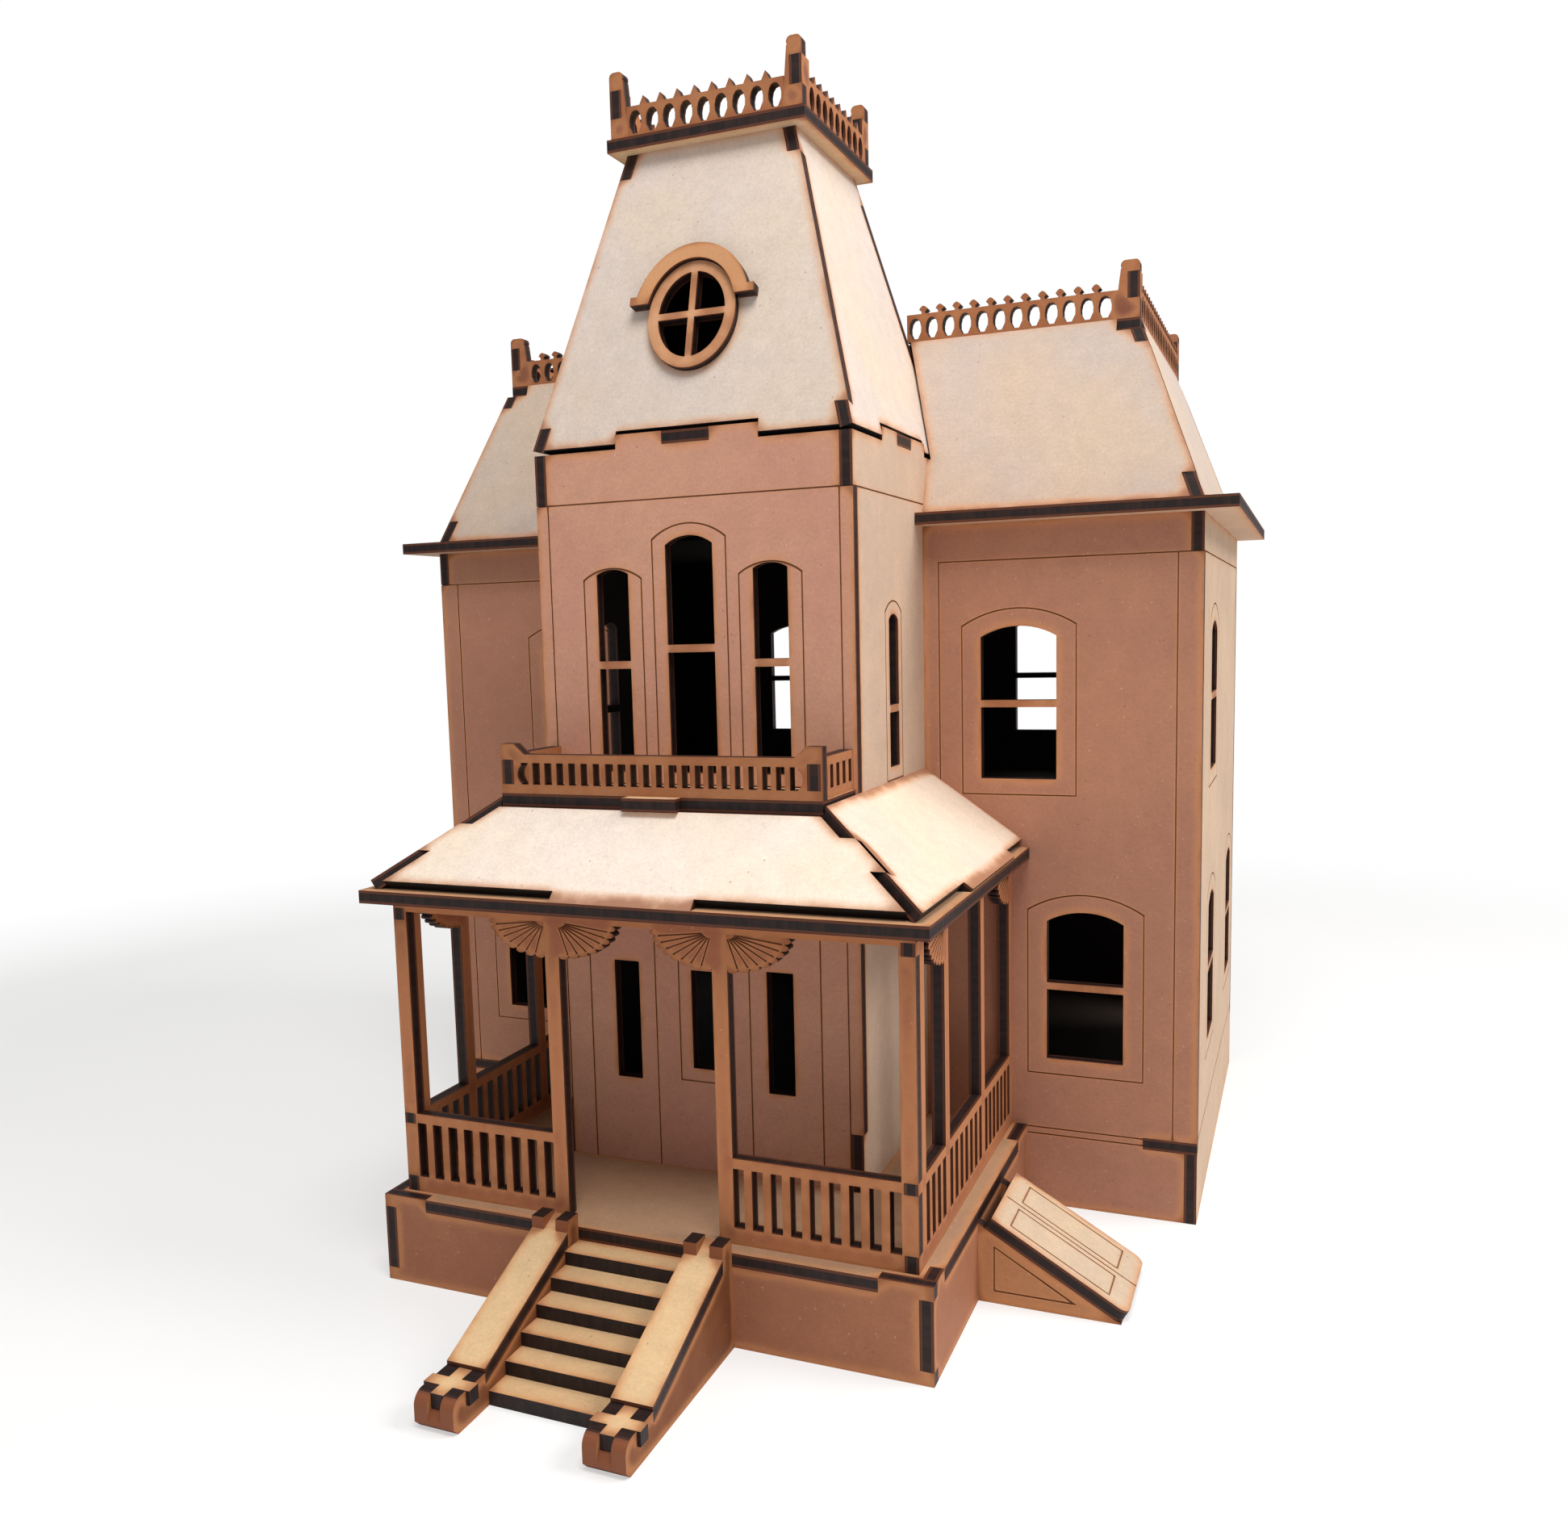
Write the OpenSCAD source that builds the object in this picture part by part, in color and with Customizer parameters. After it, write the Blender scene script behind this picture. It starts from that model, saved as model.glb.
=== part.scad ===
// Victorian doll's house cut from thin sheet wood.
// Every wall, floor, roof slope and railing is one flat sheet; sheets lock with fingers and tabs.
// Origin: middle of the footprint at the foot of the walls, in the plane of the main front wall.
// X right, Y back, Z up, in millimetres.

/* [Sheet] */
// thickness of every sheet
sheet = 3; // [2.8:0.1:3.2]
// width of an engraved line
line_w = 0.3; // [0.2:0.1:0.8]
// depth of an engraved line
line_d = 0.3; // [0.2:0.1:0.5]

/* [Main block] */
// outside width of the main block
main_w = 217; // [210:1:224]
// outside depth of the main block
main_d = 135; // [130:1:138]
// height of the main walls, up to the eaves sheet
main_h = 176; // [174:1:178]
// underside of the upper floor sheet
upper_z = 97; // [96:0.5:98]
// eaves overhang at the front and back
eave_y = 7; // [5:0.5:9]
// eaves overhang at the sides
eave_x = 8; // [6:0.5:10]
// height of the main roof slopes
roof_h = 46.5; // [44:0.5:48]
// how far the main roof leans in over its height
roof_in = 17.2; // [16:0.2:18]

/* [Windows] */
// width of a wide sash opening
sash_w = 19; // [17:0.5:21]
// height of a sash opening to the springing of its arch
sash_h = 36; // [34:0.5:38]
// rise of a wide sash arch
sash_rise = 2.6; // [2:0.2:3.4]
// width of the bar across a sash
bar_w = 1.8; // [1.4:0.1:2.4]
// middle of the upper sash, from the centre line
upper_sash_x = 64.4; // [62:0.2:66]
// middle of the lower sash, from the centre line
lower_sash_x = 81; // [79:0.5:83]

/* [Tower] */
// outside width of the tower
tower_w = 80; // [78:1:82]
// projection of the tower in front of the main wall
tower_out = 55.5; // [54:0.5:57]
// height of the tower walls at their corners
tower_h = 193.6; // [192.4:0.2:195]
// top of the tower roof slopes
tower_top = 265; // [262:1:270]
// how far the tower roof leans in over its height
tower_in = 18.4; // [17:0.2:20]
// half the width of the sheet that caps the tower
cap_half = 25.2; // [24:0.2:27]

/* [Porch] */
// outside width of the porch plinth
porch_w = 133; // [130:1:136]
// projection of the porch in front of the main wall
porch_out = 93.5; // [92:0.5:95]
// setback of the column frames from the plinth face
frame_in = 4; // [3.5:0.5:5]
// underside of the porch eaves sheet
porch_h = 91.2; // [90:0.2:92]
// width of a porch column
col_w = 3.5; // [3.2:0.1:4]
// top of the porch railing
rail_top = 40; // [38:0.5:42]
// underside of the balcony sheet
balcony_z = 112; // [111:0.5:113]
// projection of the balcony in front of the main wall
balcony_out = 77; // [76:0.5:78]
// half the width of the balcony
balcony_half = 39.4; // [38:0.2:40]

/* [Stairs and hatch] */
// going of one tread
going = 6.1; // [5.8:0.1:6.4]
// half the clear width between the stair sides
stair_half = 14; // [13:0.5:15]
// height of the cellar hatch at the plinth
hatch_h = 18; // [17:0.5:18]
// width of the cellar hatch
hatch_w = 27; // [25:1:29]
// slope of the cellar hatch
hatch_a = 30; // [29:0.5:32]

/* [Cresting] */
// spacing of the spears along a roof railing
spear_p = 4.45; // [4.2:0.05:4.7]
// height of a roof railing to the spear tips
crest_h = 9.1; // [8.6:0.1:10]
// height of a main roof railing post
post_h = 14; // [13.4:0.1:16]
// height of a tower railing post
tower_post_h = 15.3; // [13.4:0.1:16]

/* [Hidden] */
$fn = 48;
T = sheet;
risers = 7;
floor_z = risers * T;
treads = risers - 1;
BIG = 400;
wood = [0.80, 0.66, 0.53];
pale = [0.88, 0.77, 0.63];
rust = [0.62, 0.42, 0.31];

mx = main_w / 2;
tx = tower_w / 2;
px = porch_w / 2;
fx = px - frame_in;
fy = -porch_out + frame_in;
eave_z = main_h;
roof_z = main_h + T;
roof_top_z = roof_z + roof_h;
deck_z = floor_z - T;
main_frieze = main_h - 9.2;
tower_frieze = tower_h - 11.9;
tower_foot_finger = floor_z + 13.8;
castle_half = 18;
castle_up = 3.3;
ceiling_z = tower_h + castle_up - T;
ty = -tower_out;
tower_back_y = ty + tower_w;
main_lean = atan(roof_in / roof_h);
tower_roof_z = tower_h + 1.2;
tower_proud = 0.2;
tower_rise = tower_top - tower_roof_z;
tower_lean = atan((tower_in + tower_proud) / tower_rise);
porch_top_z = porch_h + T;

// ---------- placing flat sheets ----------
module sheet_front(y, t = T) translate([0, y + t, 0]) rotate([90, 0, 0]) linear_extrude(t) children();
module sheet_side(x, t = T) translate([x, 0, 0]) rotate([90, 0, 90]) linear_extrude(t) children();
module sheet_flat(z, t = T) translate([0, 0, z]) linear_extrude(t) children();
module rect(x0, x1, z0, z1) translate([x0, z0]) square([x1 - x0, z1 - z0]);
module both() { children(); mirror([1, 0, 0]) children(); }

// a sheet leaning back by a from the vertical, outer face through the X axis at y, z
module leaning(y, z, a, t0 = -T, t1 = 0)
  translate([0, y, z]) rotate([90 - a, 0, 0]) translate([0, 0, t0]) linear_extrude(t1 - t0) children();

// ---------- openings ----------
module arched(w, h, rise) {
  r = (w * w / 4 + rise * rise) / (2 * rise);
  rect(-w / 2, w / 2, 0, h);
  intersection() {
    rect(-w / 2, w / 2, h - 0.01, h + rise + 1);
    translate([0, h + rise - r]) circle(r, $fn = 96);
  }
}
module sash(w, h, rise, bar_at) difference() {
  arched(w, h, rise);
  rect(-w / 2, w / 2, bar_at, bar_at + bar_w);
}
module arch_line(w, h, rise) difference() {
  arched(w, h, rise);
  translate([0, line_w]) arched(w - 2 * line_w, h - 2 * line_w, rise);
}
module frame_line(x0, x1, z0, z1) difference() {
  rect(x0, x1, z0, z1);
  rect(x0 + line_w, x1 - line_w, z0 + line_w, z1 - line_w);
}
wide_bar = 18.2;
wide_margin = 5;
wide_head = 2.9;
wide_foot = 4.2;
lower_sill = 39.3;
upper_sill = 111.6;
module level_line(x0, x1, z) rect(x0, x1, z - 0.7 * line_w, z + 0.3 * line_w);
module wide_sash() sash(sash_w, sash_h, sash_rise, wide_bar);
module wide_line() translate([0, -wide_foot])
  arch_line(sash_w + 2 * wide_margin, sash_h + wide_foot + wide_head, sash_rise + 1.7);

// ---------- main walls ----------
corner_tab = 13;
module front_wing_2d() difference() {
  rect(tx, mx, 0, main_h);
  rect(mx - T, mx, 0, deck_z);
  rect(mx - corner_tab, mx, deck_z, floor_z);
  rect(mx - T, mx, main_frieze, main_h);
  translate([upper_sash_x, upper_sill]) wide_sash();
  translate([lower_sash_x, lower_sill]) wide_sash();
}
module front_wing_lines() {
  translate([upper_sash_x, upper_sill]) wide_line();
  translate([lower_sash_x, lower_sill]) wide_line();
  level_line(tx + 4, mx, main_frieze);
  rect(mx - 2 * T, mx - 2 * T + line_w, floor_z - 1, main_frieze);
  rect(tx + 4, tx + 4 + line_w, floor_z, main_frieze);
  level_line(px, mx - corner_tab + 1, floor_z - line_w);
  level_line(px, mx - corner_tab + 1, deck_z + 1);
}
module front_wing() difference() {
  sheet_front(0) front_wing_2d();
  sheet_front(-1, 1 + line_d) front_wing_lines();
}
module main_front_right() color(wood) front_wing();
module main_front_left() color(wood) mirror([1, 0, 0]) front_wing();

side_front_y = 38;
side_back_y = 110;
module side_wall_2d(low_front) difference() {
  union() {
    rect(T, main_d - T, 0, main_h);
    rect(0, main_d, 0, deck_z);
    rect(0, main_d, main_frieze, main_h);
  }
  translate([side_front_y, upper_sill]) wide_sash();
  if (low_front) translate([side_front_y, lower_sill]) wide_sash();
  translate([side_back_y, lower_sill]) wide_sash();
}
module side_wall_lines(low_front) {
  translate([side_front_y, upper_sill]) wide_line();
  if (low_front) translate([side_front_y, lower_sill]) wide_line();
  translate([side_back_y, lower_sill]) wide_line();
  level_line(-1, main_d + 1, main_frieze);
  level_line(T - 1, main_d - T + 1, floor_z);
}
module side_wall(low_front) difference() {
  sheet_side(mx - T) side_wall_2d(low_front);
  sheet_side(mx - line_d, 1 + line_d) side_wall_lines(low_front);
}
module main_side_right() color(wood) side_wall(true);
module main_side_left() color(wood) mirror([1, 0, 0]) side_wall(false);

back_upper_x = 46;
back_upper_sill = 113.6;
back_lower_x = 84;
module back_wall_2d() difference() {
  rect(-mx, mx, 0, main_h);
  both() {
    rect(mx - T, mx, 0, deck_z);
    rect(mx - corner_tab, mx, deck_z, floor_z);
    rect(mx - T, mx, main_frieze, main_h);
    translate([back_upper_x, back_upper_sill]) wide_sash();
    translate([back_lower_x, lower_sill]) wide_sash();
  }
}
module back_wall_lines() {
  both() {
    translate([back_upper_x, back_upper_sill]) wide_line();
    translate([back_lower_x, lower_sill]) wide_line();
  }
  level_line(-mx, mx, main_frieze);
}
module main_back() color(wood) difference() {
  sheet_front(main_d - T) back_wall_2d();
  sheet_front(main_d - line_d, 1 + line_d) back_wall_lines();
}

// ---------- floors ----------
module ground_floor() color(wood) sheet_flat(deck_z) {
  rect(T - mx, mx - T, T, main_d - T);
  rect(T - tx, tx - T, ty + T, T);
  both() {
    rect(mx - corner_tab, mx, 0, T);
    rect(mx - corner_tab, mx, main_d - T, main_d);
  }
}
module upper_floor() color(wood) sheet_flat(upper_z) {
  rect(T - mx, mx - T, T, main_d - T);
  rect(T - tx, tx - T, ty + T, T);
}
module eaves_sheet() color(wood) sheet_flat(eave_z) difference() {
  rect(-mx - eave_x, mx + eave_x, -eave_y, main_d + eave_y);
  rect(-tx, tx, -eave_y, T);
}

// ---------- main roof ----------
roof_len = roof_h / cos(main_lean);
hip_s = sin(main_lean);
roof_finger = 6.5 / cos(main_lean);
hip_w = T / cos(main_lean);
hip_finger = 3.7;
hip_clear = 0.5;
top_tab = 5.5;
tower_clear = 0.6;
tower_k = (tower_in + tower_proud) / tower_rise;
function on_slope(z) = (z - roof_z) / cos(main_lean);
function tower_edge(z) = tx + tower_clear - tower_k * (z - tower_roof_z);
function hip_x(s) = mx - hip_s * s;
module hip_notch(s0, s1) polygon([[hip_x(s0) - hip_w, s0], [hip_x(s0) + 3 * T, s0],
  [hip_x(s1) + 3 * T, s1], [hip_x(s1) - hip_w, s1]]);
module hip_notches() {
  hip_notch(-1, roof_finger);
  hip_notch(roof_len - hip_w - hip_finger, roof_len);
  rect(mx - roof_in - top_tab, mx, roof_len - hip_w, roof_len + T);
}
// wider is extra width beyond the hip
module roof_wing_2d(wider = 0) difference() {
  polygon([[tx, 0], [mx + wider, 0], [hip_x(roof_len + 1) + wider, roof_len + 1],
           [tower_edge(roof_top_z), roof_len + 1],
           [tower_edge(tower_roof_z - 1.5), on_slope(tower_roof_z - 1.5)],
           [tx, on_slope(tower_roof_z - 1.5)]]);
  hip_notches();
}
module roof_back_2d(wider = 0) difference() {
  polygon([[-mx - wider, 0], [mx + wider, 0], [hip_x(roof_len + 1) + wider, roof_len + 1],
           [-hip_x(roof_len + 1) - wider, roof_len + 1]]);
  both() hip_notches();
}
// trims a roof slope level at its foot and its top
module level_cut(z0, z1) {
  translate([-BIG, -BIG, z0 - 50]) cube([2 * BIG, 2 * BIG, 50]);
  translate([-BIG, -BIG, z1]) cube([2 * BIG, 2 * BIG, 50]);
}
module about_back() translate([0, main_d, 0]) rotate([0, 0, 180]) children();
module roof_wing() difference() {
  leaning(0, roof_z, main_lean) roof_wing_2d();
  level_cut(roof_z, roof_top_z);
}
module roof_front_right() color(pale) roof_wing();
module roof_front_left() color(pale) mirror([1, 0, 0]) roof_wing();
module roof_back() color(pale) about_back() difference() {
  leaning(0, roof_z, main_lean) roof_back_2d();
  level_cut(roof_z, roof_top_z);
}
module side_slope() difference() {
  translate([mx, 0, 0]) rotate([0, 0, 90]) leaning(0, roof_z, main_lean)
    polygon([[0, 0], [main_d, 0], [main_d - hip_s * (roof_len + 1), roof_len + 1],
             [hip_s * (roof_len + 1), roof_len + 1]]);
  level_cut(roof_z, roof_top_z);
  leaning(0, roof_z, main_lean, -T, 2) roof_wing_2d(hip_clear);
  about_back() leaning(0, roof_z, main_lean, -T, 2) roof_back_2d(hip_clear);
  top_corners(2);
}
module roof_right() color(pale) side_slope();
module roof_left() color(pale) mirror([1, 0, 0]) side_slope();

top_in = roof_in + T / cos(main_lean);
module top_corners(extra = 0) both() translate([mx - roof_in - top_tab, 0, roof_top_z - T])
  for (y = [roof_in - extra, main_d - roof_in - top_tab])
    translate([0, y, 0]) cube([top_tab + extra, top_tab + extra, T + extra]);
module roof_top() color(pale) {
  sheet_flat(roof_top_z - T) {
    rect(top_in - mx, mx - top_in, top_in, main_d - top_in);
    rect(2 - tower_edge(roof_top_z), tower_edge(roof_top_z) - 2,
         t_yc + tower_edge(roof_top_z - T), top_in + 1);
  }
  top_corners();
}

// ---------- roof railings ----------
// one bay of the openwork: a jar-shaped hole below a spear
hole_foot = 0.7;
hole_h = 5.3;
crest_rail = 7;
tooth_half = 1;
module jar_hole() polygon([[-0.7, 0], [0.7, 0], [1.1, 0.8], [1.55, 1.7], [1.6, 3], [1.3, hole_h - 1],
  [0.7, hole_h - 0.2], [0, hole_h], [-0.7, hole_h - 0.2], [-1.3, hole_h - 1], [-1.6, 3],
  [-1.55, 1.7], [-1.1, 0.8]]);
module acorn() {
  polygon([[-0.5, 0], [0.5, 0], [0.5, 0.6], [1.15, 1.1], [0.6, 1.8], [0, crest_h - crest_rail],
           [-0.6, 1.8], [-1.15, 1.1], [-0.5, 0.6]]);
}
module tooth() polygon([[-tooth_half, 0], [tooth_half, 0], [0, 2 * tooth_half]]);
module crest_run(x0, n, acorns = true) {
  difference() {
    rect(x0, x0 + n * spear_p, 0, crest_rail);
    for (i = [0:n - 1]) translate([x0 + (i + 0.5) * spear_p, hole_foot]) jar_hole();
  }
  for (i = [1:n - 1]) translate([x0 + i * spear_p, crest_rail - 0.01])
    if (acorns) acorn(); else tooth();
}
// end post with an upright outer edge at x = 0, body towards -x
module crest_post(w, h) {
  polygon([[-w, 0], [0, 0], [0, h - 1.2], [-w * 0.75 + 1, h - 1.2], [-w * 0.75, h - 2]]);
  translate([-w * 0.75 + 1.2, h - 1.6]) rect(0, w * 0.75 - 2.4, 0, 1.6);
  translate([-1.2, h - 1.2]) circle(1.2);
  translate([-w * 0.75 + 1.2, h - 1.2]) circle(1.2);
}
tab_lo = 4.8;
tab_hi = 11.2;
main_post = 6.2;
crest_x = mx - roof_in;
crest_y = roof_in + 0.1;
crest_n = 12;
module crest_slot() rect(-T, 1, tab_lo, tab_hi);
module crest_wing() translate([0, 0, roof_top_z]) sheet_front(crest_y) {
  x1 = crest_x - main_post;
  x0 = x1 - crest_n * spear_p;
  crest_run(x0, crest_n);
  difference() {
    union() {
      translate([crest_x, 0]) crest_post(main_post, post_h);
      rect(x1 - 0.01, x1 + 1, 0, crest_rail);
    }
    translate([crest_x, 0]) crest_slot();
  }
}
module cresting_front_right() color(rust) crest_wing();
module cresting_front_left() color(rust) mirror([1, 0, 0]) crest_wing();
back_n = floor((2 * (crest_x - main_post)) / spear_p);
back_pad = (2 * (crest_x - main_post) - back_n * spear_p) / 2;
module cresting_back() color(rust) translate([0, 0, roof_top_z])
  sheet_front(main_d - crest_y - T) {
    crest_run(-back_n * spear_p / 2, back_n);
    both() difference() {
      union() {
        translate([crest_x, 0]) crest_post(main_post, post_h);
        rect(crest_x - main_post - back_pad - 0.01, crest_x - main_post + 0.01, 0, crest_rail);
      }
      translate([crest_x, 0]) crest_slot();
    }
  }
side_crest_len = main_d - 2 * (crest_y + T);
side_crest_n = floor(side_crest_len / spear_p);
side_crest_pad = (side_crest_len - side_crest_n * spear_p) / 2;
module crest_side() translate([0, 0, roof_top_z]) sheet_side(crest_x - T) {
  crest_run(crest_y + T + side_crest_pad, side_crest_n);
  rect(crest_y + T, crest_y + T + side_crest_pad + 0.01, 0, crest_rail);
  rect(main_d - crest_y - T - side_crest_pad - 0.01, main_d - crest_y - T, 0, crest_rail);
  rect(crest_y, crest_y + T + 2, tab_lo, tab_hi);
  rect(main_d - crest_y - T - 2, main_d - crest_y, tab_lo, tab_hi);
}
module cresting_right() color(rust) crest_side();
module cresting_left() color(rust) mirror([1, 0, 0]) crest_side();

// ---------- tower walls ----------
side_slit = 7.4;
mid_slit = 12;
slit_x = 20.1;
slit_sill = 118;
porch_slit_w = 6.7;
module tower_top_2d(half) {
  rect(-half, half, 0, tower_h);
  rect(-castle_half, castle_half, tower_h - 1, tower_h + castle_up);
}
module tab_slot() rect(-6, 6, ceiling_z, tower_h + castle_up + 1);
module tower_front_2d() difference() {
  tower_top_2d(tx);
  both() {
    rect(tx - T, tx + 1, floor_z, tower_foot_finger);
    rect(tx - T, tx + 1, tower_frieze, tower_h + 1);
    translate([slit_x, slit_sill]) sash(8.4, 164.8 - slit_sill, 1.2, 142.6 - slit_sill);
    translate([slit_x, 42.2]) rect(-porch_slit_w / 2, porch_slit_w / 2, 0, 29.4);
  }
  tab_slot();
  translate([0, slit_sill]) sash(mid_slit, 171 - slit_sill, 2, 146.2 - slit_sill);
  rect(-2.8, 2.8, 46.3, 70.5);
}
door_half = 12.2;
plank_x = 30.1;
module tower_front_lines() {
  level_line(-tx, tx, tower_frieze);
  both() {
    rect(tx - T - line_w, tx - T, floor_z, tower_frieze);
    translate([slit_x, slit_sill - 3]) arch_line(15.6, 166.8 - slit_sill, 2.6);
    rect(door_half, door_half + line_w, floor_z, porch_h);
    rect(plank_x, plank_x + line_w, floor_z, porch_h);
  }
  translate([0, slit_sill - 3]) arch_line(19, 175.5 - slit_sill, 3.4);
  frame_line(-6.2, 6.2, 43, 74);
}
module tower_front() color(wood) difference() {
  sheet_front(ty) tower_front_2d();
  sheet_front(ty - 1, 1 + line_d) tower_front_lines();
}
slit_y = -26.5;
module tower_side_2d() {
  difference() {
    union() {
      rect(ty + T, T, 0, tower_h);
      rect(ty + T, tower_back_y - T, roof_z, tower_h);
      rect(ty, ty + T + 1, floor_z, tower_foot_finger);
      rect(ty, ty + T + 1, tower_frieze, tower_h);
      rect(tower_back_y - T - 1, tower_back_y, roof_z, tower_h);
      translate([ty + tx, 0]) rect(-castle_half, castle_half, tower_h - 1, tower_h + castle_up);
    }
    translate([slit_y, 117.3]) sash(side_slit, 35.2, 1.4, 13.1);
    translate([ty + tx, 0]) tab_slot();
  }
}
module tower_side() difference() {
  sheet_side(tx - T) tower_side_2d();
  sheet_side(tx - line_d, 1 + line_d) {
    level_line(ty - 1, T - 0.5, tower_frieze);
    translate([slit_y, 114]) arch_line(side_slit + 6, 40.5, 2.6);
  }
}
module tower_right() color(wood) tower_side();
module tower_left() color(wood) mirror([1, 0, 0]) tower_side();
module tower_back() color(wood) sheet_front(tower_back_y - T) difference() {
  union() {
    rect(T - tx, tx - T, roof_z, tower_h);
    rect(-castle_half, castle_half, tower_h - 1, tower_h + castle_up);
  }
  tab_slot();
}
module tower_ceiling() color(wood) sheet_flat(ceiling_z) {
  translate([0, t_yc]) square(tower_w - 2 * (T + 0.8), center = true);
  rect(-6, 6, ty, tower_back_y);
  rect(-tx, tx, ty + tx - 6, ty + tx + 6);
}

// ---------- tower roof ----------
t_len = tower_rise / cos(tower_lean);
t_hip = sin(tower_lean);
t_half = tx + tower_proud;
t_yc = ty + tx;
castle_s = (castle_up + tower_h + 0.9 - tower_roof_z) / cos(tower_lean);
t_low = 5.4;
t_high = 6.2;
t_finger_w = T / cos(tower_lean);
t_clear = 0.35;
function t_hip_x(s) = t_half - t_hip * s;
module tower_notch(s0, s1) polygon([[t_hip_x(s0) - t_finger_w, s0], [t_hip_x(s0) + 2 * T, s0],
  [t_hip_x(s1) + 2 * T, s1], [t_hip_x(s1) - t_finger_w, s1]]);
module tower_slope_2d(notched, wider) difference() {
  polygon([[-t_half - wider, 0], [t_half + wider, 0], [t_hip_x(t_len + 1) + wider, t_len + 1],
           [-t_hip_x(t_len + 1) - wider, t_len + 1]]);
  rect(-castle_half, castle_half, -1, castle_s);
  if (notched) both() {
    tower_notch(-1, t_low);
    tower_notch(t_len - t_high, t_len + 2);
  }
}
module tower_slope(turn, t0 = -T, t1 = 0, notched = true, wider = 0)
  translate([0, t_yc, 0]) rotate([0, 0, turn])
    leaning(-t_half, tower_roof_z, tower_lean, t0, t1) tower_slope_2d(notched, wider);
module tower_cut() level_cut(tower_roof_z - T, tower_top);

oval_s = 29;
oval_ring = 2.6;
oval_raise = 1.8;
oval_bar = 0.8;
oval_rx = 8.4;
oval_ry = 10.3;
function oval(rx, ry, a0, a1, n) =
  [for (i = [0:n]) let (a = a0 + (a1 - a0) * i / n) [rx * cos(a), ry * sin(a)]];
module oval_2d(rx, ry) polygon(oval(rx, ry, 0, 360 - 360 / 72, 71));
module on_oval(t0, t1) translate([0, t_yc, 0]) leaning(-t_half, tower_roof_z, tower_lean, t0, t1)
  translate([0, oval_s]) children();
module tower_roof_front() color(pale) difference() {
  tower_slope(0);
  tower_cut();
  on_oval(-T - 1, 1) oval_2d(oval_rx + oval_ring + 0.05, oval_ry + oval_ring + 0.05);
}
module tower_roof_back() color(pale) difference() {
  tower_slope(180);
  tower_cut();
}
module tower_side_slope() difference() {
  tower_slope(90, notched = false);
  tower_cut();
  tower_slope(0, -T, 2, wider = t_clear);
  tower_slope(180, -T, 2, wider = t_clear);
}
module tower_roof_right() color(pale) tower_side_slope();
module tower_roof_left() color(pale) mirror([1, 0, 0]) tower_side_slope();

module oval_frame() color(rust) on_oval(oval_raise - T, oval_raise) {
  difference() {
    oval_2d(oval_rx + oval_ring, oval_ry + oval_ring);
    oval_2d(oval_rx, oval_ry);
  }
  rect(-oval_bar, oval_bar, -oval_ry - 1, oval_ry + 1);
  rect(-oval_rx - 1, oval_rx + 1, -oval_bar, oval_bar);
}
hood_foot = 3.2;
hood_out = 15.6;
module oval_hood() color(rust) on_oval(0, T) polygon(concat(
  oval(oval_rx + 6.2, oval_ry + 6.4, 18, 162, 48),
  [[-hood_out, hood_foot + 2], [-hood_out, hood_foot], [-11, hood_foot]],
  oval(oval_rx + oval_ring + 0.15, oval_ry + oval_ring + 0.15, 165, 15, 48),
  [[11, hood_foot], [hood_out, hood_foot], [hood_out, hood_foot + 2]]));

// ---------- tower cap and its railings ----------
module tower_cap() color(pale) sheet_flat(tower_top)
  translate([0, t_yc]) square(2 * cap_half, center = true);
cap_z = tower_top + T;
rail_x = cap_half - 0.8;
tower_post = 4.8;
t_n = 9;
t_pad = (2 * (rail_x - tower_post) - t_n * spear_p) / 2;
module tower_rail() translate([0, 0, cap_z]) sheet_front(-rail_x) {
  crest_run(-t_n * spear_p / 2, t_n, false);
  both() difference() {
    union() {
      translate([rail_x, 0]) crest_post(tower_post, tower_post_h);
      rect(t_n * spear_p / 2 - 0.01, rail_x - tower_post + 0.01, 0, crest_rail);
    }
    translate([rail_x, 0]) crest_slot();
  }
}
module tower_rail_front() color(rust) translate([0, t_yc, 0]) tower_rail();
module tower_rail_back() color(rust) translate([0, t_yc, 0]) rotate([0, 0, 180]) tower_rail();
t_side = rail_x - T;
t_side_n = 9;
module tower_rail_side() translate([0, t_yc, cap_z]) sheet_side(rail_x - T) {
  crest_run(-t_side_n * spear_p / 2, t_side_n, false);
  for (e = [-1, 1]) {
    rect(min(e * t_side, e * (t_side_n * spear_p / 2 - 0.01)),
         max(e * t_side, e * (t_side_n * spear_p / 2 - 0.01)), 0, crest_rail);
    rect(min(e * (t_side - 2), e * rail_x), max(e * (t_side - 2), e * rail_x), tab_lo, tab_hi);
  }
}
module tower_rail_right() color(rust) tower_rail_side();
module tower_rail_left() color(rust) mirror([1, 0, 0]) tower_rail_side();

// ---------- porch base ----------
deck_tab = 55;
side_tab_y0 = -85;
side_tab_y1 = -12;
plinth_lo = 3;
module plinth_front() color(wood) sheet_front(-porch_out) difference() {
  rect(-px, px, 0, floor_z);
  rect(-deck_tab, deck_tab, deck_z, floor_z);
  both() rect(px - T, px, plinth_lo, deck_z);
}
module plinth_side() sheet_side(px - T) {
  difference() {
    rect(-porch_out + T, 0, 0, floor_z);
    rect(side_tab_y0, side_tab_y1, deck_z, floor_z);
  }
  rect(-porch_out, -porch_out + T + 1, plinth_lo, deck_z);
}
module plinth_right() color(wood) plinth_side();
module plinth_left() color(wood) mirror([1, 0, 0]) plinth_side();
module porch_deck() color(wood) sheet_flat(deck_z) {
  rect(T - px, px - T, -porch_out + T, ty);
  rect(-deck_tab, deck_tab, -porch_out, -porch_out + T + 1);
  both() {
    rect(tx, px - T, ty - 1, 0);
    rect(px - T - 1, px, side_tab_y0, side_tab_y1);
  }
}

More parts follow.
